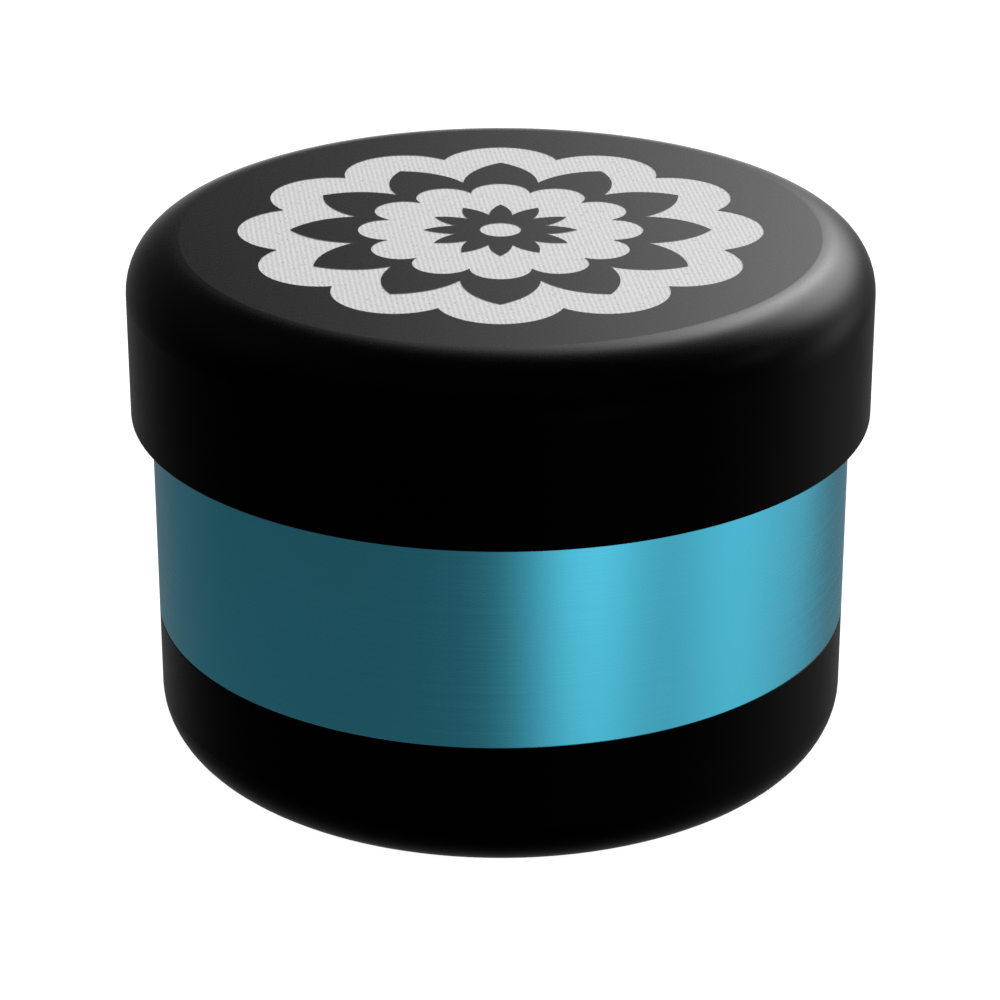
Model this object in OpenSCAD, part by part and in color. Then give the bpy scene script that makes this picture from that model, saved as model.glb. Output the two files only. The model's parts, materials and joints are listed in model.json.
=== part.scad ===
// Hand grinder of the three-stage kind, 63 mm across: a lid that turns on a glide ring, a coloured band
// that holds the toothed mill plate, and a screwed-on base cup with a drop-in screen over its bowl.
// Millimetres, +Z up, origin at the centre of the base's underside.

/* [Outside] */
// Outside diameter of the base and the band
body_d = 59.5; // [52:0.5:76]
// Height of the base cup, from the table to the seam below the band
base_h = 12; // [11.6:0.1:16]
// Height of band that shows between the base and the lid
band_h = 18.1; // [15:0.1:26]
// Height of the lid, from its lower edge to its top
lid_h = 15.3; // [14:0.1:18]
// Radius of the lid's rounded upper edge
lid_round = 4.6; // [2:0.1:5]
// Radius of the base's rounded lower edge
base_round = 4.8; // [2:0.1:5.4]
// Radius that softens the lid's lower edge and the edges at the seam
edge_round = 0.12; // [0.08:0.02:0.3]

/* [Lid] */
// Wall of the lid's skirt
lid_wall = 1.4; // [1.2:0.1:2.4]
// Radial gap between the band and the skirt around it
skirt_gap = 0.35; // [0.2:0.05:0.6]
// Thickness of the lid's roof above its toothed plate
lid_roof = 2.7; // [2.4:0.1:3.6]
// Thickness of the lid's toothed plate
lid_plate_t = 3; // [2.4:0.1:3.6]
// Width of the shoulder that bears on the glide ring
shoulder_w = 2; // [1.6:0.1:2.2]

/* [Glide ring] */
// Thickness of the glide ring's flange, between the band's rim and the lid
glide_t = 1; // [0.8:0.1:1.4]
// Height of the glide ring's collar, which sits on the step round the rim
collar_h = 3.2; // [2:0.1:4]
// Running clearance on each side of the glide ring
run_gap = 0.05; // [0.03:0.01:0.1]

/* [Band] */
// Depth of the step round the band's rim
rim_step = 1.1; // [0.9:0.05:1.3]
// Wall of the rim inside that step
rim_wall = 1.65; // [1.4:0.05:2]
// Wall of the spigot that screws into the base
spigot_wall = 1.6; // [1.4:0.1:2]

/* [Mill] */
// Clear height between the two toothed plates
chamber_h = 11.6; // [9:0.1:12.4]
// Thickness of the mill plate
mill_plate_t = 3; // [2.4:0.1:4]
// Gap between the tips of the teeth and the plate that they face
tip_gap = 1; // [0.6:0.1:1.6]
// Gap between rings of teeth that pass each other
pass_gap = 0.9; // [0.6:0.1:1.2]
// Length of a tooth along its path
tooth_l = 4.6; // [3.6:0.1:4.8]
// Length of the flat that is left on a tooth's crown
crown_l = 1.6; // [1:0.1:2.4]
// Width by which a tooth overhangs its round shank on each side
shank_inset = 0.3; // [0.2:0.05:0.5]
// Length of the shank that is pressed into the plate
shank_l = 1.6; // [1:0.1:2]
// Distance from the hub's wall to the middle of the innermost ring of teeth
first_ring_gap = 3.65; // [3.4:0.05:4.2]
// Teeth in the lid's inner ring
lid_teeth_inner = 6; // [4:1:9]
// Teeth in the lid's middle ring
lid_teeth_middle = 10; // [6:1:14]
// Teeth in the lid's outer ring
lid_teeth_outer = 14; // [8:1:20]
// Teeth in the mill plate's inner ring
mill_teeth_inner = 8; // [5:1:12]
// Teeth in the mill plate's outer ring
mill_teeth_outer = 12; // [7:1:18]

/* [Drop holes] */
// Diameter of a drop hole
hole_d = 3.6; // [3:0.1:3.6]
// Holes in the inner ring
holes_inner = 8; // [5:1:10]
// Holes in the middle ring
holes_middle = 14; // [8:1:18]
// Holes in the outer ring, less those that would meet a screw
holes_outer = 18; // [12:1:24]
// Gap between the outer ring of holes and the wall that it opens beside
hole_edge = 0.05; // [0.05:0.05:0.5]
// Least web of metal between a drop hole and a screw's head
hole_web = 0.6; // [0.4:0.1:1]

/* [Hubs] */
// Diameter of the magnets
magnet_d = 8; // [6:0.5:9]
// Height of the magnets
magnet_h = 3; // [2:0.5:3.5]
// Thickness of the caps over the magnets
cap_t = 0.6; // [0.4:0.1:1]
// Width by which a cap overhangs its magnet
cap_lip = 0.55; // [0.4:0.05:0.7]
// Wall of a hub round its cap
hub_wall = 1.2; // [0.9:0.1:1.4]
// Width of a hub's shoulder round the spigot that is pressed into the plate
hub_shoulder = 2.2; // [1.6:0.1:2.6]
// Length of that spigot
hub_spigot_l = 2.4; // [1.6:0.1:2.4]
// Gap between the two hubs
hub_gap = 1; // [0.6:0.1:1.6]

/* [Screws] */
// Diameter of a screw's shank
screw_d = 2; // [1.6:0.1:2.4]
// Diameter of a countersunk head
head_d = 3.8; // [3.2:0.1:4]
// Height of a countersunk head
head_h = 1.1; // [0.8:0.1:1.4]
// Size of the hex key, across its flats
key_af = 1.3; // [1:0.1:1.5]
// Depth of the hex socket
key_depth = 0.8; // [0.5:0.1:1]
// Length of the screws that hold the lid's toothed plate
lid_screw_l = 4.8; // [4.4:0.1:5]
// Length of the screws that hold the mill plate
mill_screw_l = 6; // [5:0.5:7]
// Wall of a tapped lug round its screw
lug_wall = 1.5; // [1.2:0.1:1.8]
// Height of the tapped lugs under the mill plate
lug_h = 3.6; // [3:0.1:5]

/* [Base] */
// Thickness of the base's floor
floor_t = 1.8; // [1.4:0.1:2.2]
// Depth of the catch bowl below the screen's ledge
catch_d = 4.6; // [4.2:0.1:5]
// Radius at the foot of the bowl's wall
bowl_round = 3; // [1.5:0.1:4]
// Wall of the base round the thread that holds the band
thread_wall = 2.35; // [2.1:0.05:2.8]
// Height of the thread's ridges
thread_depth = 0.55; // [0.4:0.05:0.7]
// Radial play of the thread
thread_gap = 0.1; // [0.05:0.05:0.2]
// Thickness of the gasket at the seam
gasket_t = 0.8; // [0.6:0.1:1.2]
// Width of the gasket
gasket_w = 1.3; // [1:0.1:1.5]

/* [Screen] */
// Height of the screen's frame
frame_t = 1.6; // [1.5:0.1:2]
// Width of the screen's frame
frame_w = 1.9; // [1.6:0.1:2.4]
// Thickness of the frame's lip below the mesh
lip_t = 0.55; // [0.4:0.05:0.7]
// Width of the lip that the mesh lies on
lip_w = 0.7; // [0.5:0.1:0.9]
// Thickness of the mesh
mesh_t = 0.3; // [0.2:0.05:0.4]
// Opening between the ends of the clip that holds the mesh down
clip_open = 4; // [2:0.5:8]

/* [Scraper] */
// Width of the three-sided scraper, measured from any side to the tip opposite
scraper_w = 19; // [14:0.5:20]
// Distance from the scraper's middle to its blunted tips
scraper_tip_r = 10.3; // [9:0.1:10.8]
// Thickness of the scraper
scraper_t = 1.2; // [0.8:0.1:1.6]
// Diameter of the hole in the scraper
scraper_hole_d = 3; // [2:0.5:4]
// Gap between the scraper and the foot of the bowl's wall
scraper_gap = 2.05; // [0.5:0.05:2.5]

/* [Rosette] */
// Depth of the rosette engraved in the lid
engrave_t = 0.06; // [0.04:0.02:0.3]
// Petals, and lobes, in each ring of the rosette
petals = 12; // [10:1:14]
// Radius of the circle that the outer lobes are centred on
outer_lobe_at = 16.8; // [16:0.1:17.5]
// Radius of an outer lobe
outer_lobe_r = 5.25; // [4.8:0.05:5.5]
// Radius at the tips of the plain petals
petal_tip = 17.65; // [16.5:0.05:19]
// Radius where the plain petals are widest
petal_at = 11.9; // [11.5:0.1:12.5]
// Half the greatest width of a plain petal
petal_half = 3.26; // [3.2:0.02:3.6]
// Radius of the circle that the inner lobes are centred on
inner_lobe_at = 9.44; // [9:0.02:9.6]
// Radius of an inner lobe
inner_lobe_r = 2.53; // [2.4:0.01:2.6]
// Radius at the tips of the star
star_tip = 6.4; // [5.5:0.1:7.4]
// Radius where the star's points are widest
star_at = 3.62; // [3.4:0.02:3.9]
// Half the greatest width of a star point
star_half = 0.98; // [0.96:0.02:1.2]
// Radius of the dot in the middle
dot_r = 1.73; // [1.2:0.01:2.2]

/* [Hidden] */
$fn = 96;

BLACK = [0.05, 0.05, 0.055];
BLUE = [0.2, 0.6, 0.72];
BARE = [0.72, 0.73, 0.75];

// How far a cut runs past the face that it opens
past = 1;
// Radial gap round a piece that is pressed or screwed into its seat, and round one that drops in
seat_gap = 0.05;
drop_gap = 0.1;
// Screws in each plate, the mill's and the lid's turned so that neither meets a tooth
screw_count = 3;
mill_screw_turn = 90;
lid_screw_turn = 30;

// Radii
body_r = body_d / 2;
skirt_r = body_r + skirt_gap;
lid_r = skirt_r + lid_wall;
step_r = body_r - rim_step;
chamber_r = step_r - rim_wall;
lid_pocket_r = skirt_r - shoulder_w;
lid_plate_r = lid_pocket_r - seat_gap;
mill_plate_r = chamber_r - drop_gap;
thread_r = body_r - thread_wall;
spigot_r = thread_r - thread_depth;
thread_bore_r = thread_r + thread_gap;
store_r = spigot_r - spigot_wall;
frame_r = spigot_r;
frame_hole_r = frame_r - frame_w;
bowl_r = frame_hole_r - drop_gap;
mesh_r = frame_hole_r + lip_w;
gasket_in_r = spigot_r + drop_gap;
gasket_out_r = gasket_in_r + gasket_w;
cap_r = magnet_d / 2 + cap_lip;
hub_r = cap_r + hub_wall;
hub_spigot_r = hub_r - hub_shoulder;
lug_r = screw_d / 2 + lug_wall;
scraper_y = bowl_r - bowl_round - scraper_gap - scraper_tip_r;

// Heights above the table
ledge_z = floor_t + catch_d;
mesh_z = ledge_z + lip_t;
clip_z = mesh_z + mesh_t;
frame_top_z = ledge_z + frame_t;
spigot_z = frame_top_z + drop_gap;
seam_z = base_h;
skirt_z = seam_z + band_h;
lid_z = skirt_z + lid_h;
ceiling_z = lid_z - lid_roof;
lid_plate_z = ceiling_z - lid_plate_t;
flange_z = lid_plate_z - run_gap - glide_t;
rim_z = flange_z - run_gap;
collar_z = rim_z - collar_h;
step_z = collar_z - run_gap;
mill_z = lid_plate_z - chamber_h;
mill_under_z = mill_z - mill_plate_t;

// The rings of teeth are evenly spaced from the hub to the wall, and run alternately on the lid and on
// the mill plate; the drop holes, in the mill plate, lie under the lid's rings
lid_rings = [lid_teeth_inner, lid_teeth_middle, lid_teeth_outer];
mill_rings = [mill_teeth_inner, mill_teeth_outer];
holes = [holes_inner, holes_middle, holes_outer];
last_ring = len(lid_rings) + len(mill_rings) - 1;
first_ring_r = hub_r + first_ring_gap;
last_ring_r = store_r - hole_edge - hole_d / 2;
ring_step = (last_ring_r - first_ring_r) / last_ring;
function ring_r(i) = first_ring_r + i * ring_step;
tooth_w = ring_step - pass_gap;
shank_r = tooth_w / 2 - shank_inset;
lid_screw_at = ring_r(last_ring - 1);
mill_screw_at = ring_r(last_ring);
tooth_h = chamber_h - tip_gap;
hub_h = (chamber_h - hub_gap) / 2;

// ---- shapes that repeat ----

// A disc, or a tube if it has a bore, from height z0 to height z1
module ring(r, z0, z1, bore = 0) {
    translate([0, 0, z0])
        difference() {
            cylinder(h = z1 - z0, r = r);
            if (bore > 0)
                translate([0, 0, -past])
                    cylinder(h = z1 - z0 + 2 * past, r = bore);
        }
}

// In profile, what a round edge takes off a square corner at the origin that points up and outwards
module round_waste(r) {
    difference() {
        translate([-r, -r])
            square(r + past);
        translate([-r, -r])
            circle(r);
    }
}

// What a round edge takes off a disc of radius at_r, at its top or its bottom face
module top_edge_waste(at_r, z, r) {
    rotate_extrude()
        translate([at_r, z])
            round_waste(r);
}

module bottom_edge_waste(at_r, z, r) {
    rotate_extrude()
        translate([at_r, z])
            mirror([0, 1])
                round_waste(r);
}

// Copies a child n times round the axis, the first copy turned by the angle given
module around(n, turn = 0) {
    for (k = [0 : n - 1])
        rotate(turn + k * 360 / n)
            children();
}

// A countersunk screw, its head's face at z = 0, grown all over for the hole that it goes in
module screw_form(length, grow = 0) {
    translate([0, 0, -length])
        cylinder(h = length, r = screw_d / 2 + grow);
    translate([0, 0, -head_h])
        cylinder(h = head_h, r1 = screw_d / 2 + grow, r2 = head_d / 2 + grow);
    if (grow > 0)
        cylinder(h = past, r = head_d / 2 + grow);
}

module screw(length) {
    difference() {
        screw_form(length);
        translate([0, 0, -key_depth])
            cylinder(h = key_depth + past, r = key_af / 2 / cos(30), $fn = 6);
    }
}

// One tooth that stands on z = 0: a diamond in plan, both ends of its crown bevelled, on a round shank
module tooth() {
    half_w = tooth_w / 2;
    half_l = tooth_l / 2;
    half_c = crown_l / 2;
    intersection() {
        linear_extrude(tooth_h)
            polygon([[half_w, 0], [0, half_l], [-half_w, 0], [0, -half_l]]);
        rotate([90, 0, 90])
            linear_extrude(2 * tooth_w, center = true)
                polygon([[-half_l, 0], [half_l, 0], [half_c, tooth_h], [-half_c, tooth_h]]);
    }
    translate([0, 0, -shank_l])
        cylinder(h = shank_l, r = shank_r);
}

module tooth_socket() {
    translate([0, 0, -shank_l - seat_gap])
        cylinder(h = shank_l + seat_gap + past, r = shank_r + seat_gap);
}

// Places a child at every tooth of every second ring, from the ring given. A lane along +X stays clear.
module at_teeth(rings, first) {
    for (i = [0 : len(rings) - 1])
        around(rings[i], 180 / rings[i])
            translate([ring_r(first + 2 * i), 0, 0])
                children();
}

// A hub that stands on a plate at z = 0, the bore that it is pressed into, and what its hollow holds
module hub() {
    difference() {
        union() {
            cylinder(h = hub_h, r = hub_r);
            translate([0, 0, -hub_spigot_l])
                cylinder(h = hub_spigot_l + past, r = hub_spigot_r);
        }
        translate([0, 0, hub_h - cap_t - magnet_h])
            cylinder(h = magnet_h + past, r = magnet_d / 2 + seat_gap);
        translate([0, 0, hub_h - cap_t])
            cylinder(h = cap_t + past, r = cap_r + seat_gap);
    }
}

module hub_bore(plate_t) {
    translate([0, 0, -plate_t - past])
        cylinder(h = plate_t + 2 * past, r = hub_spigot_r + seat_gap);
}

module hub_magnet() {
    translate([0, 0, hub_h - cap_t - magnet_h])
        cylinder(h = magnet_h, r = magnet_d / 2);
}

module hub_cap() {
    translate([0, 0, hub_h - cap_t])
        cylinder(h = cap_t, r = cap_r);
}

// Stands a child on the mill plate, or hangs it from the lid's toothed plate
module on_mill() {
    translate([0, 0, mill_z])
        children();
}

module under_lid() {
    translate([0, 0, lid_plate_z])
        mirror([0, 0, 1])
            children();
}

module at_mill_screws() {
    around(screw_count, mill_screw_turn)
        translate([mill_screw_at, 0, mill_z])
            children();
}

module at_lid_screws() {
    around(screw_count, lid_screw_turn)
        translate([lid_screw_at, 0, lid_plate_z])
            mirror([0, 0, 1])
                children();
}

// ---- base ----

// Half the section of the hollow from the floor up to the screen's ledge
module bowl_section() {
    difference() {
        translate([0, floor_t])
            square([bowl_r, catch_d + past]);
        translate([bowl_r, floor_t])
            mirror([0, 1])
                round_waste(bowl_round);
    }
}

module base_cup() {
    color(BLACK)
        difference() {
            ring(body_r, 0, seam_z);
            bottom_edge_waste(body_r, 0, base_round);
            top_edge_waste(body_r, seam_z, edge_round);
            rotate_extrude()
                bowl_section();
            ring(frame_r + drop_gap, ledge_z, seam_z + past);
            ring(thread_bore_r, frame_top_z, seam_z + past);
        }
}

module screen_frame() {
    color(BARE)
        difference() {
            ring(frame_r, ledge_z, frame_top_z, frame_hole_r);
            ring(mesh_r + seat_gap, mesh_z, frame_top_z + past);
        }
}

module screen_mesh() {
    color(BARE)
        ring(mesh_r, mesh_z, clip_z);
}

// Split ring that springs into the frame above the mesh
module screen_clip() {
    color("gray")
        difference() {
            ring(mesh_r, clip_z, frame_top_z, frame_hole_r);
            translate([-clip_open / 2, 0, clip_z - past])
                cube([clip_open, mesh_r + past, frame_t + 2 * past]);
        }
}

// Pick with three bowed sides, each an arc about the tip opposite
module scraper() {
    color(BARE)
        translate([0, scraper_y, floor_t])
            linear_extrude(scraper_t)
                difference() {
                    intersection() {
                        rotate(90)
                            translate([scraper_w / sqrt(3), 0])
                                circle(scraper_w);
                        rotate(210)
                            translate([scraper_w / sqrt(3), 0])
                                circle(scraper_w);
                        rotate(330)
                            translate([scraper_w / sqrt(3), 0])
                                circle(scraper_w);
                        circle(scraper_tip_r);
                    }
                    circle(scraper_hole_d / 2);
                }
}

// Flat gasket that the band's shoulder presses on the base's rim
module thread_gasket() {
    color([0.15, 0.15, 0.16])
        ring(gasket_out_r, seam_z + seat_gap, seam_z + seat_gap + gasket_t, gasket_in_r);
}

// ---- band and mill ----

// The tapped lugs reach inwards from the band's wall, just below the mill plate
module lugs() {
    at_mill_screws()
        translate([0, 0, -mill_plate_t - lug_h])
            cylinder(h = lug_h, r = lug_r);
}

module lug_holes() {
    at_mill_screws()
        translate([0, 0, -mill_plate_t - lug_h - past])
            cylinder(h = lug_h + 2 * past, r = screw_d / 2 + seat_gap);
}

module chamber_band() {
    color(BLUE)
        difference() {
            union() {
                ring(spigot_r, spigot_z, seam_z + past, store_r);
                ring(body_r, seam_z, step_z, store_r);
                ring(step_r, step_z - past, rim_z, store_r);
                lugs();
            }
            bottom_edge_waste(body_r, seam_z, edge_round);
            top_edge_waste(body_r, step_z, edge_round);
            top_edge_waste(step_r, rim_z, edge_round);
            ring(gasket_out_r + drop_gap, seam_z - past, seam_z + gasket_t + 2 * seat_gap, spigot_r);
            ring(chamber_r, mill_under_z, rim_z + past);
            lug_holes();
        }
}

// How far round the ring, in millimetres, the nearest screw is from the angle given
function to_screw(turn) =
    let (pitch = 360 / screw_count, off = abs((turn - mill_screw_turn) % pitch))
    mill_screw_at * min(off, pitch - off) * PI / 180;

function meets_screw(i, turn) =
    abs(ring_r(2 * i) - mill_screw_at) < ring_step
    && to_screw(turn) < (head_d + hole_d) / 2 + hole_web;

module drop_holes() {
    for (i = [0 : len(holes) - 1])
        for (k = [0 : holes[i] - 1]) {
            turn = (k + 0.5) * 360 / holes[i];
            if (!meets_screw(i, turn))
                rotate(turn)
                    translate([ring_r(2 * i), 0, mill_under_z - past])
                        cylinder(h = mill_plate_t + 2 * past, r = hole_d / 2);
        }
}

module mill_plate() {
    color(BARE)
        difference() {
            ring(mill_plate_r, mill_under_z, mill_z);
            on_mill() hub_bore(mill_plate_t);
            on_mill() at_teeth(mill_rings, 1) tooth_socket();
            drop_holes();
            at_mill_screws() screw_form(mill_screw_l, seat_gap);
        }
}

module mill_teeth() {
    color(BARE)
        on_mill() at_teeth(mill_rings, 1) tooth();
}

module mill_hub() {
    color(BARE)
        on_mill() hub();
}

module mill_magnet() {
    color("silver")
        on_mill() hub_magnet();
}

module mill_magnet_cap() {
    color(BARE)
        on_mill() hub_cap();
}

module mill_screws() {
    color("dimgray")
        at_mill_screws() screw(mill_screw_l);
}

// Slippery ring between the lid and the band: a flange under the lid's shoulder, a collar in its skirt
module glide_ring() {
    color("white")
        union() {
            ring(skirt_r - run_gap, flange_z, flange_z + glide_t, chamber_r + drop_gap);
            ring(skirt_r - run_gap, collar_z, flange_z + glide_t, step_r + run_gap);
        }
}

// ---- lid ----

// A disc with a lobe at every petal's angle
module lobed_disc(at, lobe_r) {
    circle(at);
    around(petals)
        translate([at, 0])
            circle(lobe_r);
}

// A disc with pointed petals: two arcs meet at each tip, and stand apart by twice `half` at radius `at`
module petal_disc(tip, at, half) {
    arc_r = (pow(tip - at, 2) + pow(half, 2)) / (2 * half);
    circle(at);
    around(petals)
        intersection() {
            translate([at, arc_r - half])
                circle(arc_r);
            translate([at, half - arc_r])
                circle(arc_r);
        }
}

module rosette() {
    difference() {
        lobed_disc(outer_lobe_at, outer_lobe_r);
        petal_disc(petal_tip, petal_at, petal_half);
    }
    difference() {
        lobed_disc(inner_lobe_at, inner_lobe_r);
        petal_disc(star_tip, star_at, star_half);
    }
    circle(dot_r);
}

module lid_shell() {
    color(BLACK)
        difference() {
            ring(lid_r, skirt_z, lid_z);
            top_edge_waste(lid_r, lid_z, lid_round);
            bottom_edge_waste(lid_r, skirt_z, edge_round);
            ring(skirt_r, skirt_z - past, lid_plate_z);
            ring(lid_pocket_r, lid_plate_z - past, ceiling_z);
            translate([0, 0, lid_z - engrave_t])
                linear_extrude(engrave_t + past)
                    rosette();
            at_lid_screws()
                translate([0, 0, -lid_screw_l - seat_gap])
                    cylinder(h = lid_screw_l, r = screw_d / 2 + seat_gap);
        }
}

module lid_tooth_plate() {
    color(BARE)
        difference() {
            ring(lid_plate_r, lid_plate_z, ceiling_z);
            under_lid() hub_bore(lid_plate_t);
            under_lid() at_teeth(lid_rings, 0) tooth_socket();
            at_lid_screws() screw_form(lid_screw_l, seat_gap);
        }
}

module lid_teeth() {
    color(BARE)
        under_lid() at_teeth(lid_rings, 0) tooth();
}

module lid_hub() {
    color(BARE)
        under_lid() hub();
}

module lid_magnet() {
    color("silver")
        under_lid() hub_magnet();
}

module lid_magnet_cap() {
    color(BARE)
        under_lid() hub_cap();
}

module lid_screws() {
    color("dimgray")
        at_lid_screws() screw(lid_screw_l);
}

base_cup();
screen_frame();
screen_mesh();
screen_clip();
scraper();
thread_gasket();
chamber_band();
mill_plate();
mill_teeth();
mill_hub();
mill_magnet();
mill_magnet_cap();
mill_screws();
glide_ring();
lid_shell();
lid_tooth_plate();
lid_teeth();
lid_hub();
lid_magnet();
lid_magnet_cap();
lid_screws();
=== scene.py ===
"""The looks of the hand grinder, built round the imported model.

Metres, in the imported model's frame: +Z up, the camera on the -Y side. The object's sizes are read from the
frame's nodes. Only what is made here alone has its own: the thread's ridges, the woven wires, the finishes.
"""

import json
import math
from collections import Counter, namedtuple

import bmesh
import bpy
from mathutils import Matrix, Vector


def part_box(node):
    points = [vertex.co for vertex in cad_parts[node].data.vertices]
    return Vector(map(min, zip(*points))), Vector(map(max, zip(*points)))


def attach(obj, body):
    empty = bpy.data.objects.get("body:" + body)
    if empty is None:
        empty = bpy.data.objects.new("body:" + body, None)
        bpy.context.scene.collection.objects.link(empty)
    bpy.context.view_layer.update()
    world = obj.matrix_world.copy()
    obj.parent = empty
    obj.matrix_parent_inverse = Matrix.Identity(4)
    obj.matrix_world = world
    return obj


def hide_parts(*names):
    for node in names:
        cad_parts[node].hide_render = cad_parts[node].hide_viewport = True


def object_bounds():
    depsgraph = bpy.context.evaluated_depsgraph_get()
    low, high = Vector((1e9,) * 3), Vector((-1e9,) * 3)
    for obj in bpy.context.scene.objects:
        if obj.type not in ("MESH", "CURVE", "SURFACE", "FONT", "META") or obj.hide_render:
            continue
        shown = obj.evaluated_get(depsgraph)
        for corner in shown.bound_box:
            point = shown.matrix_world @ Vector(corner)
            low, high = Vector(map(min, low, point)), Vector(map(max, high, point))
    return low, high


MM = 0.001


def rgb(r, g, b):
    return (r, g, b, 1.0)


def grey(tone):
    return rgb(tone, tone, tone)


# ---- camera ----
LENS_MM = 127.4
SENSOR_MM = 36.0
CAMERA_DISTANCE = 306.7 * MM
CAMERA_ELEVATION = math.radians(23.89)
LOOK_AT = Vector((-0.06 * MM, 0.0, 20.6 * MM))

# ---- studio lights: direction round the object (0 = camera side, 90 = +X) and height, both in degrees,
# ---- then sharpness and strength
STUDIO = {
    "front_fill": (-13, 1, 11, 0.11),
    "front_card": (28, -11, 20, 1.4),
    "right_table": (81, -10, 7, 0.83),
    "right_box": (88, 24.5, 100, 4.3),
    "rear_card": (115, -3, 35, 1.3),
    "rear_box": (132, 34, 26, 8.9),
    "rear_strip_soft": (155, 22, 48, 2.5),
    "rear_strip_high": (157, 44, 75, 13.3),
    "rear_strip": (166, 28.5, 100, 7.6),
    "rear_low": (180, -5.5, 52, 1.25),
    "rear_table": (177, -45, 1.9, 0.21),
    "left_table": (-53, -56, 2.7, 0.11),
    "front_overhead": (25, 50, 8, 0.9),
    "left_overhead": (-75, 50, 8, 0.9),
}
FLOOR_SIDE = 1.6
FLOOR_GLOW = 0.98
FLOOR_BELOW = 0.02 * MM
FLOOR_CLOUD_SCALE = 40
FLOOR_ROUGHNESS = 0.9
FLOOR_DARK, FLOOR_LIGHT = grey(0.24), grey(0.26)

# ---- screw thread between the base and the chamber ----
THREAD_PITCH = 1.5 * MM
RIDGE_ROOT = 0.84 * MM
RIDGE_CREST = 0.24 * MM
RIDGE_HEIGHT = 0.5 * MM
RIDGE_MARGIN = 0.35 * MM
RIDGE_SUNK = 0.03 * MM
RIDGE_STEP = math.radians(4)
RIDGE_RUN_OUT = math.radians(24)
RIDGE_END = 0.04  # share of its height that a ridge keeps at its very ends
RIDGE_CREASE = math.radians(20)

# ---- woven screen ----
WIRE_PITCH = 0.6 * MM
WIRE_SIDES = 5

# ---- noise: scales are per metre, so that 5000 makes features of about 0.2 mm ----
FINE_DETAIL = 3.0
BROAD_DETAIL = 2.0
NOISE_SPAN = (0.2, 0.8)  # where nearly all of a noise's values lie
ROUGHNESS_SPREAD = 0.05

# ---- satin anodising, black and blue ----
SATIN_GRAIN_SCALE = 5200
SATIN_ROUGHNESS = (0.25, 0.29)
SATIN_BUMP = 0.012 * MM
BLACK_DARK, BLACK_LIGHT = rgb(0.0003, 0.0003, 0.0003), rgb(0.0012, 0.0012, 0.0013)
BLACK_CLOUD_SCALE = 90
BLACK_GRAIN_HEIGHT = 0.03
SIDE_SHINE = 0.7  # of the top's shine, left to the side walls where they are seen nearly edge on
FULL_SHINE_LEAN = 0.6  # upward lean, from 0 on a side wall to 1 on top, from which the shine is whole
BLUE_DARK, BLUE_LIGHT = rgb(0.105, 0.667, 0.906), rgb(0.111, 0.703, 0.956)
BLUE_CLOUD_SCALE = 70
BLUE_CLOUD_SHARE = 0.5
BLUE_RING_SCALE = 6500
BLUE_RING_HEIGHT = 0.06
BLUE_GRAIN_HEIGHT = 0.04

# ---- engraved rosette: where it lies, its laser strokes and the dark specks among them ----
TOP_SKIN = 0.004 * MM
ROSETTE_DEEPEST = 0.4 * MM
ROSETTE_REACH = 23.0 * MM
CUT_FLOOR_LEAN = 0.5  # upward lean, from which a face of the cut is its floor
CUT_WALL_TONE = grey(0.3)
CUT_ROUGHNESS = 0.62
HATCH_PITCH = 0.422 * MM
HATCH_TURN = math.radians(7)
STROKE_SQUEEZE = 0.4  # of the way along a stroke, so that its unevenness is drawn out 2.5 times
STROKE_SCALE = 7000
STROKE_UNEVENNESS = 1.6
STROKE_WAVE = 0.42
STROKE_OFFSET = -0.3
STROKE_HEIGHT = 0.25
STROKE_DARK, STROKE_LIGHT = grey(0.465), grey(0.62)
SPECK_SCALE = 6400
SPECK_START, SPECK_FULL = 0.68, 0.8  # the noise's rarest values
SPECK_STRENGTH = 0.7
SPECK_TONE = grey(0.15)

# ---- bare metal and polymer ----
TURNED_CLOUD_SCALE = 160
TURNED_CLOUD_SHARE = 0.4
GROUND_CLOUD_SCALE = 420
GROUND_CLOUD_SHARE = 0.5
SCRATCH_SQUEEZE = (1.0, 1.0, 0.12)  # of x, y and z, so that scratches are drawn out upwards
POLYMER_CLOUD_SCALE = 120
POLYMER_ROUGHNESS_SPREAD = 0.06
POLYMER_BUMP = 0.01 * MM
POLYMER_LIGHT_REACH = 0.4 * MM  # how deep light goes into waxy plastic

# ---- round walls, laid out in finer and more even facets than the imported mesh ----
ROUND_FACETS = 384
ROUND_STEP = 2 * math.pi / ROUND_FACETS
LEAST_RING = 24  # corners in a ring, from which a face counts as round
MOST_RIM_RUN = 2 * ROUND_FACETS // LEAST_RING  # even steps that an edge on a rim may span
SAME_PLACE = 0.0005 * MM

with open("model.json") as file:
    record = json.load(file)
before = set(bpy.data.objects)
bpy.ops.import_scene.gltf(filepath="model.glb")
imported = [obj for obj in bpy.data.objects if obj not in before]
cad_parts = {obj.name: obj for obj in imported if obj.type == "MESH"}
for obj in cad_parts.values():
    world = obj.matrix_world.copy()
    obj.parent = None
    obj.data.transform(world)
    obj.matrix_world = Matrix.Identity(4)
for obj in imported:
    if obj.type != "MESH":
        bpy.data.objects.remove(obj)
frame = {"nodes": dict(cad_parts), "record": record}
nodes = frame["nodes"]
cad_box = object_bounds()


# ---------------------------------------------------------------- node helpers

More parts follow.
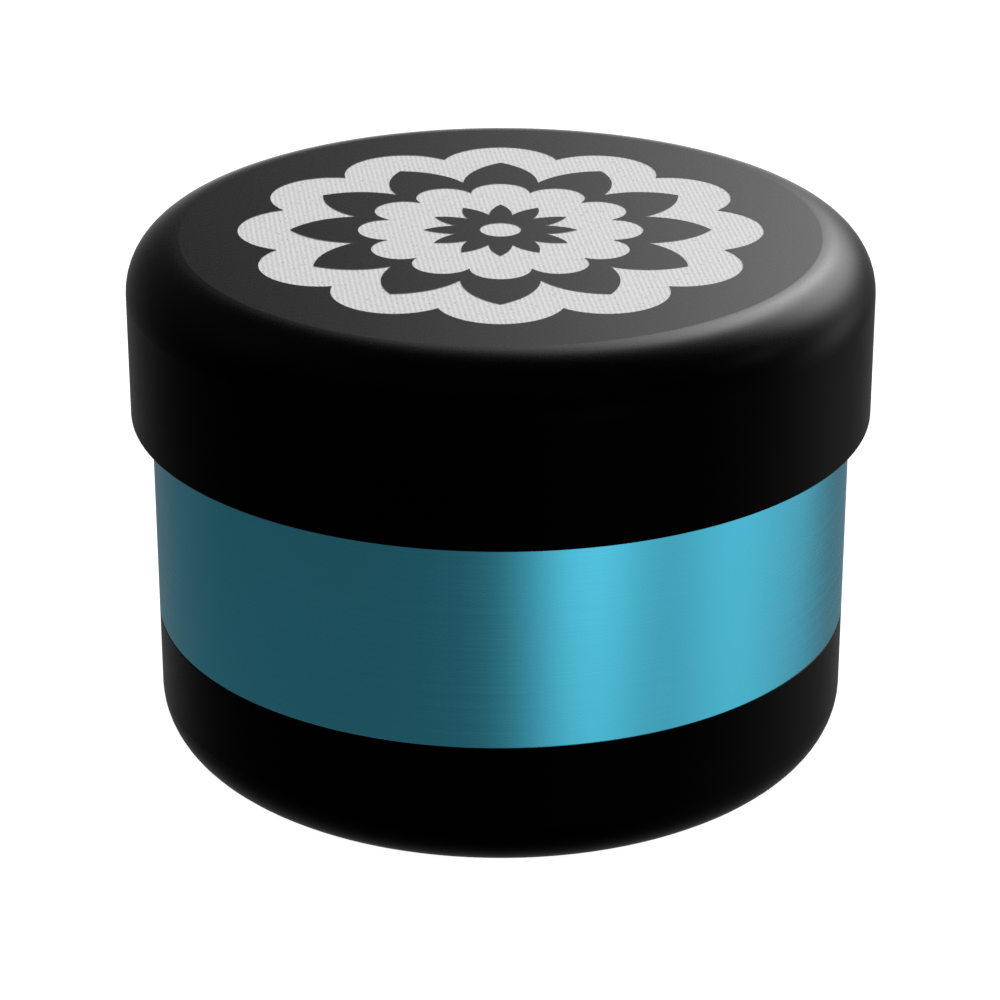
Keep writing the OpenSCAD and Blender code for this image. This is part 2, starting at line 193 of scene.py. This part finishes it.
class Tree:
    """Short calls for building a node tree."""

    def __init__(self, tree):
        self.tree = tree
        self.tree.nodes.clear()

    def node(self, kind, values=None, **settings):
        made = self.tree.nodes.new(kind)
        for key, value in settings.items():
            setattr(made, key, value)
        for key, value in (values or {}).items():
            self.feed(made.inputs[key], value)
        return made

    def feed(self, socket, value):
        if isinstance(value, bpy.types.NodeSocket):
            self.tree.links.new(value, socket)
        else:
            socket.default_value = value

    def math(self, operation, a, b=0.0, c=0.0):
        return self.node("ShaderNodeMath", {0: a, 1: b, 2: c}, operation=operation).outputs[0]

    def vector(self, operation, a, b=(0, 0, 0)):
        made = self.node("ShaderNodeVectorMath", {0: a, 1: b}, operation=operation)
        return made.outputs["Value"] if operation in ("DOT_PRODUCT", "LENGTH") else made.outputs[0]

    def combine(self, x, y, z=0.0):
        return self.node("ShaderNodeCombineXYZ", {0: x, 1: y, 2: z}).outputs[0]

    def ramp(self, value, low, high, out_low=0.0, out_high=1.0):
        """A smooth step from out_low, where the value is at most low, to out_high."""
        made = self.node(
            "ShaderNodeMapRange",
            {"Value": value, "From Min": low, "From Max": high, "To Min": out_low, "To Max": out_high},
            interpolation_type="SMOOTHSTEP",
        )
        return made.outputs["Result"]

    def mix(self, factor, a, b):
        """A colour part way from a to b."""
        return self.node("ShaderNodeMix", {0: factor, 6: a, 7: b}, data_type="RGBA").outputs[2]

    def blend(self, factor, a, b):
        """A number part way from a to b."""
        return self.node("ShaderNodeMix", {0: factor, 2: a, 3: b}, data_type="FLOAT").outputs[0]

    def noise(self, where, scale, detail=BROAD_DETAIL):
        made = self.node("ShaderNodeTexNoise", {"Vector": where, "Scale": scale, "Detail": detail})
        return made.outputs[0]

    def bump(self, height, distance):
        return self.node("ShaderNodeBump", {"Height": height, "Distance": distance}).outputs[0]

    def point(self):
        """Where a point is on the piece, in the frame at rest."""
        return self.node("ShaderNodeTexCoord").outputs["Object"]

    def place(self):
        """The same point, with its height and its distance from the axis."""
        point = self.point()
        x, y, z = self.node("ShaderNodeSeparateXYZ", {0: point}).outputs
        return point, z, self.vector("LENGTH", self.combine(x, y))

    def surface(self, **inputs):
        """The shader itself: uniform values sit on its own sockets."""
        values = {key.replace("_", " "): value for key, value in inputs.items()}
        shader = self.node("ShaderNodeBsdfPrincipled", values)
        self.node("ShaderNodeOutputMaterial", {"Surface": shader.outputs[0]})


def new_material(name):
    material = bpy.data.materials.new(name)
    material.use_nodes = True
    return material, Tree(material.node_tree)


# ---------------------------------------------------------------- measuring the frame

def radii(node, low, high):
    """Smallest and largest distance from the axis of a node's corners between two heights."""
    found = [math.hypot(v.co.x, v.co.y) for v in nodes[node].data.vertices if low <= v.co.z <= high]
    return min(found), max(found)


lid_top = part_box("lid_shell")[1].z
seam_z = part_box("base_cup")[1].z
spigot_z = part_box("chamber_band")[0].z
screen_low, screen_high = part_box("screen_mesh")
spigot_r = radii("chamber_band", spigot_z, seam_z - RIDGE_MARGIN)[1]
bore_r = radii("base_cup", screen_high.z, seam_z)[0]


# ---------------------------------------------------------------- finishes

def satin_grain(tree, point):
    """The fine even grain of a blasted and anodised face."""
    return tree.noise(point, SATIN_GRAIN_SCALE, FINE_DETAIL)


def engraved_area(tree, z, radius):
    """1 in the engraving, which lies just under the lid's top and well inside its rim, and 0 elsewhere."""
    below = tree.math("LESS_THAN", z, lid_top - TOP_SKIN)
    above = tree.math("GREATER_THAN", z, lid_top - ROSETTE_DEEPEST)
    inside = tree.math("LESS_THAN", radius, ROSETTE_REACH)
    return tree.math("MULTIPLY", tree.math("MULTIPLY", below, above), inside)


def laser_hatching(tree, point):
    """Laser strokes side by side, each uneven along its length: their height, and their speckled tone."""
    across = tree.vector("DOT_PRODUCT", point, (math.cos(HATCH_TURN), math.sin(HATCH_TURN), 0))
    along = tree.vector("DOT_PRODUCT", point, (-math.sin(HATCH_TURN), math.cos(HATCH_TURN), 0))
    wave = tree.math("SINE", tree.math("MULTIPLY", across, 2 * math.pi / HATCH_PITCH))
    stretched = tree.combine(across, tree.math("MULTIPLY", along, STROKE_SQUEEZE))
    uneven = tree.noise(stretched, STROKE_SCALE, detail=1.0)
    regular = tree.math("MULTIPLY_ADD", wave, STROKE_WAVE, STROKE_OFFSET)
    strokes = tree.math("MULTIPLY_ADD", uneven, STROKE_UNEVENNESS, regular)
    specks = tree.ramp(
        tree.noise(stretched, SPECK_SCALE, detail=0.0), SPECK_START, SPECK_FULL, out_high=SPECK_STRENGTH
    )
    return strokes, tree.mix(specks, tree.mix(strokes, STROKE_DARK, STROKE_LIGHT), SPECK_TONE)


def black_anodised():
    """Deep black satin that shines only where it is seen edge on. The rosette is cut through to pale metal.

    The cut's own walls are duller than its floor, and the turned side walls than the blasted top.
    """
    material, tree = new_material("black_anodised")
    point, z, radius = tree.place()
    normal = tree.node("ShaderNodeTexCoord").outputs["Normal"]
    lean = tree.node("ShaderNodeSeparateXYZ", {0: normal}).outputs[2]
    grain = satin_grain(tree, point)
    cut = engraved_area(tree, z, radius)
    strokes, floor_tone = laser_hatching(tree, point)

    black = tree.mix(tree.noise(point, BLACK_CLOUD_SCALE), BLACK_DARK, BLACK_LIGHT)
    pale = tree.mix(tree.math("GREATER_THAN", lean, CUT_FLOOR_LEAN), CUT_WALL_TONE, floor_tone)
    black_height = tree.math("MULTIPLY", grain, BLACK_GRAIN_HEIGHT)
    height = tree.blend(cut, black_height, tree.math("MULTIPLY", strokes, STROKE_HEIGHT))
    tree.surface(
        Base_Color=tree.mix(cut, black, pale),
        Metallic=tree.math("SUBTRACT", 1.0, cut),
        Roughness=tree.blend(cut, tree.ramp(grain, *NOISE_SPAN, *SATIN_ROUGHNESS), CUT_ROUGHNESS),
        Specular_Tint=tree.mix(tree.ramp(lean, 0.0, FULL_SHINE_LEAN), grey(SIDE_SHINE), grey(1)),
        Normal=tree.bump(height, SATIN_BUMP),
    )
    return material


def blue_anodised():
    """Satin aluminium dyed bright blue, with the faint rings that turning leaves under the dye."""
    material, tree = new_material("blue_anodised")
    point, z, radius = tree.place()
    rings = tree.noise(tree.combine(z, radius), BLUE_RING_SCALE)
    tone = tree.blend(BLUE_CLOUD_SHARE, rings, tree.noise(point, BLUE_CLOUD_SCALE))
    grain_height = tree.math("MULTIPLY", satin_grain(tree, point), BLUE_GRAIN_HEIGHT)
    tree.surface(
        Base_Color=tree.mix(tone, BLUE_DARK, BLUE_LIGHT),
        Metallic=1.0,
        Roughness=tree.ramp(rings, *NOISE_SPAN, *SATIN_ROUGHNESS),
        Normal=tree.bump(tree.math("MULTIPLY_ADD", rings, BLUE_RING_HEIGHT, grain_height), SATIN_BUMP),
    )
    return material


def turned_metal(name, dark, light, roughness, ring_scale, ring_depth):
    """Bare metal off the lathe: rings round the axis on its faces, a little dulled where the tool dwelt."""
    material, tree = new_material(name)
    point, z, radius = tree.place()
    rings = tree.noise(tree.combine(radius, z), ring_scale, FINE_DETAIL)
    tone = tree.blend(TURNED_CLOUD_SHARE, rings, tree.noise(point, TURNED_CLOUD_SCALE, FINE_DETAIL))
    tree.surface(
        Base_Color=tree.mix(tone, dark, light),
        Metallic=1.0,
        Roughness=tree.ramp(tone, *NOISE_SPAN, roughness + ROUGHNESS_SPREAD, roughness - ROUGHNESS_SPREAD),
        Normal=tree.bump(rings, ring_depth),
    )
    return material


def ground_metal(name, dark, light, roughness, scratch_scale, scratch_depth):
    """Small bright parts: fine straight grinding marks and a little mottling."""
    material, tree = new_material(name)
    point = tree.point()
    scratches = tree.noise(tree.vector("MULTIPLY", point, SCRATCH_SQUEEZE), scratch_scale, FINE_DETAIL)
    tone = tree.blend(GROUND_CLOUD_SHARE, scratches, tree.noise(point, GROUND_CLOUD_SCALE))
    tree.surface(
        Base_Color=tree.mix(tone, dark, light),
        Metallic=1.0,
        Roughness=tree.ramp(tone, *NOISE_SPAN, roughness + ROUGHNESS_SPREAD, roughness - ROUGHNESS_SPREAD),
        Normal=tree.bump(scratches, scratch_depth),
    )
    return material


def soft_polymer(name, dark, light, roughness, grain_scale, subsurface):
    """Rubber or waxy plastic: an even tone with a soft moulded grain."""
    material, tree = new_material(name)
    point = tree.point()
    grain = tree.noise(point, grain_scale, FINE_DETAIL)
    smoother, duller = roughness - POLYMER_ROUGHNESS_SPREAD, roughness + POLYMER_ROUGHNESS_SPREAD
    tree.surface(
        Base_Color=tree.mix(tree.noise(point, POLYMER_CLOUD_SCALE), dark, light),
        Roughness=tree.ramp(grain, *NOISE_SPAN, smoother, duller),
        Normal=tree.bump(grain, POLYMER_BUMP),
        Subsurface_Weight=subsurface,
        Subsurface_Scale=POLYMER_LIGHT_REACH,
    )
    return material


def toothed_metal():
    return turned_metal(
        "toothed_metal",
        dark=rgb(0.60, 0.61, 0.63),
        light=rgb(0.76, 0.77, 0.79),
        roughness=0.32,
        ring_scale=5200,
        ring_depth=0.006 * MM,
    )


def bare_metal():
    return turned_metal(
        "bare_metal",
        dark=rgb(0.66, 0.67, 0.69),
        light=rgb(0.78, 0.79, 0.81),
        roughness=0.28,
        ring_scale=4200,
        ring_depth=0.004 * MM,
    )


def mesh_wire():
    return ground_metal(
        "mesh_wire",
        dark=rgb(0.50, 0.50, 0.51),
        light=grey(0.66),
        roughness=0.30,
        scratch_scale=9000,
        scratch_depth=0.002 * MM,
    )


def spring_steel():
    return ground_metal(
        "spring_steel",
        dark=rgb(0.36, 0.37, 0.39),
        light=rgb(0.52, 0.53, 0.55),
        roughness=0.26,
        scratch_scale=6000,
        scratch_depth=0.002 * MM,
    )


def screw_steel():
    return ground_metal(
        "screw_steel",
        dark=rgb(0.16, 0.16, 0.17),
        light=rgb(0.28, 0.28, 0.30),
        roughness=0.30,
        scratch_scale=6000,
        scratch_depth=0.003 * MM,
    )


def magnet():
    return ground_metal(
        "magnet",
        dark=rgb(0.70, 0.69, 0.66),
        light=rgb(0.82, 0.81, 0.78),
        roughness=0.16,
        scratch_scale=3000,
        scratch_depth=0.001 * MM,
    )


def tooth_steel():
    return ground_metal(
        "tooth_steel",
        dark=rgb(0.58, 0.58, 0.59),
        light=grey(0.76),
        roughness=0.24,
        scratch_scale=7000,
        scratch_depth=0.003 * MM,
    )


def gasket_rubber():
    return soft_polymer(
        "gasket_rubber",
        dark=rgb(0.020, 0.020, 0.022),
        light=rgb(0.034, 0.034, 0.036),
        roughness=0.72,
        grain_scale=7000,
        subsurface=0.0,
    )


def glide_plastic():
    return soft_polymer(
        "glide_plastic",
        dark=rgb(0.78, 0.78, 0.75),
        light=rgb(0.86, 0.86, 0.83),
        roughness=0.48,
        grain_scale=5000,
        subsurface=0.25,
    )


FINISHES = {
    make.__name__: make()
    for make in (
        black_anodised,
        blue_anodised,
        toothed_metal,
        bare_metal,
        mesh_wire,
        spring_steel,
        screw_steel,
        magnet,
        tooth_steel,
        gasket_rubber,
        glide_plastic,
    )
}

for part in frame["record"]["subparts"]:
    shown = nodes[part["node"]].data
    shown.materials.clear()
    shown.materials.append(FINISHES[part["material_slot"]])


# ---------------------------------------------------------------- pieces made here

def new_piece(name, mesh, body, slot):
    """A piece made here, which rides on a body and takes its finish from a slot."""
    piece = bpy.data.objects.new(name, mesh)
    bpy.context.scene.collection.objects.link(piece)
    mesh.materials.append(FINISHES[slot])
    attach(piece, body)
    return piece


def skin(made, rings):
    """A smooth tube through rings of corners, closed at both ends."""
    count = len(rings[0])
    for near, far in zip(rings, rings[1:]):
        for k in range(count):
            after = (k + 1) % count
            made.faces.new((near[k], near[after], far[after], far[k])).smooth = True
    made.faces.new(rings[0])
    made.faces.new(rings[-1])


def closed_mesh(name, made, crease=None):
    """The mesh with its faces turned outwards, sharp at the edges that bend more than the crease."""
    bmesh.ops.recalc_face_normals(made, faces=made.faces)
    if crease:
        for edge in made.edges:
            if len(edge.link_faces) == 2 and edge.calc_face_angle() > crease:
                edge.smooth = False
    mesh = bpy.data.meshes.new(name)
    made.to_mesh(mesh)
    made.free()
    return mesh


def thread_ridge(name, body, slot, root_r, low, high, outward, phase):
    """One helical ridge, swept between two heights, outward (1) or inward (-1), with its ends run out."""
    turns = (high - low) / THREAD_PITCH
    steps = math.ceil(turns * 2 * math.pi / RIDGE_STEP)
    made = bmesh.new()
    rings = []
    for i in range(steps + 1):
        angle = i * RIDGE_STEP
        run_out = min(angle, (steps - i) * RIDGE_STEP, RIDGE_RUN_OUT) / RIDGE_RUN_OUT
        reach = RIDGE_HEIGHT * (RIDGE_END + (1 - RIDGE_END) * run_out)
        z = low + angle / (2 * math.pi) * THREAD_PITCH
        crest_r = root_r + outward * reach
        wall_r = root_r - outward * RIDGE_SUNK
        profile = (
            (wall_r, z - RIDGE_ROOT / 2),
            (crest_r, z - RIDGE_CREST / 2),
            (crest_r, z + RIDGE_CREST / 2),
            (wall_r, z + RIDGE_ROOT / 2),
        )
        turn = angle + phase
        rings.append([made.verts.new((r * math.cos(turn), r * math.sin(turn), h)) for r, h in profile])
    skin(made, rings)
    new_piece(name, closed_mesh(name, made, RIDGE_CREASE), body, slot)


def woven_wire(made, row, turned, cloth_r, wire_r, middle_z):
    """One wire of the cloth, which passes over one crossing wire and under the next."""
    offset = row * WIRE_PITCH
    reach = math.sqrt(cloth_r ** 2 - offset ** 2)
    crossings = int(reach / WIRE_PITCH)
    rings = []
    for k in range(-crossings * 2 - 1, crossings * 2 + 2):
        run = max(-reach, min(reach, k * WIRE_PITCH / 2))
        over = math.cos(math.pi * k / 2) * (-1) ** row * (-1 if turned else 1)
        ring = []
        for side in range(WIRE_SIDES):
            around = 2 * math.pi * side / WIRE_SIDES
            sideways = offset + wire_r * math.cos(around)
            height = middle_z + wire_r * (over + math.sin(around))
            ring.append(made.verts.new((sideways, run, height) if turned else (run, sideways, height)))
        rings.append(ring)
    skin(made, rings)


def screen_weave(name):
    """Plain woven wire cloth in the place of the solid disc, which is two wires thick.

    The last wire of each direction lies at least half a pitch inside the disc's edge.
    """
    middle = (screen_low + screen_high) / 2
    cloth_r = (screen_high.x - screen_low.x) / 2
    wire_r = (screen_high.z - screen_low.z) / 4
    last_row = int(cloth_r / WIRE_PITCH - 0.5)
    made = bmesh.new()
    for row in range(-last_row, last_row + 1):
        for turned in (False, True):
            woven_wire(made, row, turned, cloth_r, wire_r, middle.z)
    weave = new_piece(name, closed_mesh(name, made), "base", "mesh_wire")
    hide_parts("screen_mesh")


# ---------------------------------------------------------------- round pieces in even facets

Ring = namedtuple("Ring", "radius height outward upward")


def whole_faces(source):
    """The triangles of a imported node, gathered into its faces. Two faces never share a corner."""
    home = list(range(len(source.vertices)))

    def root(k):
        while home[k] != k:
            home[k] = home[home[k]]
            k = home[k]
        return k

    for triangle in source.polygons:
        first, *others = (root(k) for k in triangle.vertices)
        for other in others:
            home[other] = first
    faces = {}
    for triangle in source.polygons:
        faces.setdefault(root(triangle.vertices[0]), []).append(tuple(triangle.vertices))
    return faces.values()


def ring_place(radius, height):
    """Radius and height, in steps fine enough to tell one ring of corners from the next."""
    return round(radius / SAME_PLACE), round(height / SAME_PLACE)


def even_spot(radius, turn, height):
    """The place at one of the even steps round the axis."""
    angle = turn * ROUND_STEP
    return Vector((radius * math.cos(angle), radius * math.sin(angle), height))


def triangle_sides(corners):
    return [(corners[k - 1], corners[k]) for k in range(3)]


class EvenRound:
    """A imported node's own shape, laid out afresh.

    Each face that runs right round the axis gets even facets. The rims of the other faces are cut to meet
    them, so that the outline shows no flats.
    """

    def __init__(self, source):
        self.spots = [v.co.copy() for v in source.vertices]
        self.facing = [None] * len(self.spots)
        for corner, normal in zip(source.loops, source.corner_normals):
            self.facing[corner.vertex_index] = normal.vector.copy()
        self.facets = []
        self.round_rims = set()
        other_faces = []
        for face in whole_faces(source):
            if not self.lay_round(face):
                other_faces.append(face)
        for face in other_faces:
            self.lay_other(face)

    def place(self, k):
        return ring_place(self.spots[k].xy.length, self.spots[k].z)

    def even_turn(self, k):
        """The even step round the axis that is nearest to a corner."""
        return round(math.atan2(self.spots[k].y, self.spots[k].x) / ROUND_STEP)

    def add_corner(self, spot, normal):
        self.spots.append(spot)
        self.facing.append(normal)
        return len(self.spots) - 1

    def face_rings(self, face):
        """The rings of a face that runs right round the axis, in order across it. Other faces have none."""
        members = {}
        for k in {k for corners in face for k in corners}:
            members.setdefault(self.place(k), []).append(k)
        if len(members) < 2 or min(len(ks) for ks in members.values()) < LEAST_RING:
            return []
        rings = []
        for ks in members.values():
            spot = self.spots[ks[0]]
            outward = sum(self.facing[k].xy.dot(self.spots[k].xy.normalized()) for k in ks) / len(ks)
            upward = sum(self.facing[k].z for k in ks) / len(ks)
            rings.append(Ring(spot.xy.length, spot.z, outward, upward))
        face_outward = sum(ring.outward for ring in rings)
        face_upward = sum(ring.upward for ring in rings)
        return sorted(rings, key=lambda ring: face_outward * ring.height - face_upward * ring.radius)

    def new_ring(self, ring):
        """A ring of new corners at the even steps, all leaning as the old ring did."""
        made = []
        for k in range(ROUND_FACETS):
            normal = Vector((ring.outward, 0, ring.upward)).normalized()
            normal.rotate(Matrix.Rotation(k * ROUND_STEP, 3, "Z"))
            made.append(self.add_corner(even_spot(ring.radius, k, ring.height), normal))
        return made

    def lay_round(self, face):
        """Even facets for a face that runs right round the axis. Says whether it does."""
        rings = self.face_rings(face)
        self.round_rims.update(ring_place(ring.radius, ring.height) for ring in rings)
        for near, far in zip(rings, rings[1:]):
            near_corners, far_corners = self.new_ring(near), self.new_ring(far)
            climb = (far.height - near.height) * (near.outward + far.outward)
            spread = (far.radius - near.radius) * (near.upward + far.upward)
            for k in range(ROUND_FACETS):
                quad = (near_corners[k - 1], near_corners[k], far_corners[k], far_corners[k - 1])
                self.facets.append(quad if climb > spread else quad[::-1])
        return bool(rings)

    def rim_cuts(self, a, b):
        """New corners between the ends of an edge that lies on the rim of a round face."""
        place, start = self.place(a), self.even_turn(a)
        run = (self.even_turn(b) - start + ROUND_FACETS / 2) % ROUND_FACETS - ROUND_FACETS / 2
        if place != self.place(b) or place not in self.round_rims or abs(run) > MOST_RIM_RUN:
            return []
        way = 1 if run > 0 else -1
        normal = (self.facing[a] + self.facing[b]).normalized()
        radius, height = self.spots[a].xy.length, self.spots[a].z
        turns = [start + way * k for k in range(1, int(abs(run)))]
        return [self.add_corner(even_spot(radius, turn, height), normal) for turn in turns]

    def lay_other(self, face):
        """A face of any other form: its own triangles, with its corners and edges on round rims fitted."""
        uses = Counter(frozenset(side) for corners in face for side in triangle_sides(corners))
        for k in {k for corners in face for k in corners if self.place(k) in self.round_rims}:
            self.spots[k] = even_spot(self.spots[k].xy.length, self.even_turn(k), self.spots[k].z)
        for corners in face:
            outline = []
            for a, b in triangle_sides(corners):
                if uses[frozenset((a, b))] == 1:
                    outline.extend(self.rim_cuts(a, b))
                if (self.spots[a] - self.spots[b]).length > SAME_PLACE:
                    outline.append(b)
            if len(outline) > 2:
                self.facets.append(tuple(outline))


def finer_round(node, name, body, slot):
    """A piece in even facets that takes the node's place."""
    shape = EvenRound(nodes[node].data)
    mesh = bpy.data.meshes.new(name)
    mesh.from_pydata(shape.spots, [], shape.facets)
    mesh.shade_smooth()
    mesh.normals_split_custom_set_from_vertices(shape.facing)
    piece = new_piece(name, mesh, body, slot)
    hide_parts(node)


thread_span = (spigot_z + RIDGE_MARGIN + RIDGE_ROOT / 2, seam_z - RIDGE_MARGIN - RIDGE_ROOT)
thread_ridge("chamber_thread", "chamber", "blue_anodised", spigot_r, *thread_span, outward=1, phase=0.0)
thread_ridge("base_thread", "base", "black_anodised", bore_r, *thread_span, outward=-1, phase=math.pi)
screen_weave("screen_weave")
finer_round("base_cup", "base_cup_round", "base", "black_anodised")
finer_round("chamber_band", "chamber_band_round", "chamber", "blue_anodised")
finer_round("lid_shell", "lid_shell_round", "lid", "black_anodised")


# ---------------------------------------------------------------- studio

def studio_world():
    """Soft boxes round the object, seen only by the object. Behind it all is plain white."""
    world = bpy.data.worlds.new("studio")
    world.use_nodes = True
    tree = Tree(world.node_tree)
    direction = tree.node("ShaderNodeTexCoord").outputs["Generated"]
    total = 0.0
    for azimuth, height, sharpness, strength in STUDIO.values():
        a, e = math.radians(azimuth), math.radians(height)
        towards = (math.sin(a) * math.cos(e), -math.cos(a) * math.cos(e), math.sin(e))
        away = tree.math("SUBTRACT", tree.vector("DOT_PRODUCT", direction, towards), 1.0)
        glow = tree.math("EXPONENT", tree.math("MULTIPLY", away, sharpness))
        total = tree.math("MULTIPLY_ADD", glow, strength, total)
    boxes = tree.node("ShaderNodeBackground", {"Color": grey(1), "Strength": total}).outputs[0]
    plain = tree.node("ShaderNodeBackground", {"Color": grey(1), "Strength": 1.0}).outputs[0]
    seen = tree.node("ShaderNodeLightPath").outputs["Is Camera Ray"]
    mixed = tree.node("ShaderNodeMixShader", {0: seen, 1: boxes, 2: plain}).outputs[0]
    tree.node("ShaderNodeOutputWorld", {"Surface": mixed})
    bpy.context.scene.world = world


def studio_floor():
    """A plain white table top that glows, so that hardly a shadow shows. The object doesn't mirror it."""
    material, tree = new_material("floor_white")
    tree.surface(
        Base_Color=tree.mix(tree.noise(tree.point(), FLOOR_CLOUD_SCALE), FLOOR_DARK, FLOOR_LIGHT),
        Roughness=FLOOR_ROUGHNESS,
        Specular_IOR_Level=0.0,
        Emission_Color=grey(1),
        Emission_Strength=FLOOR_GLOW,
    )
    bpy.ops.mesh.primitive_plane_add(size=FLOOR_SIDE, location=(0, 0, cad_box[0][2] - FLOOR_BELOW))
    floor = bpy.context.object
    floor.name = "floor"
    floor.data.materials.append(material)
    floor.visible_glossy = False


def camera():
    data = bpy.data.cameras.new("camera")
    data.lens = LENS_MM
    data.sensor_width = SENSOR_MM
    data.clip_start = 1 * MM
    made = bpy.data.objects.new("camera", data)
    back = Vector((0, -math.cos(CAMERA_ELEVATION), math.sin(CAMERA_ELEVATION)))
    made.location = LOOK_AT + back * CAMERA_DISTANCE
    made.rotation_euler = (-back).to_track_quat("-Z", "Y").to_euler()
    bpy.context.scene.collection.objects.link(made)
    bpy.context.scene.camera = made


studio_world()
studio_floor()
camera()
bpy.context.scene.view_settings.view_transform = "Standard"
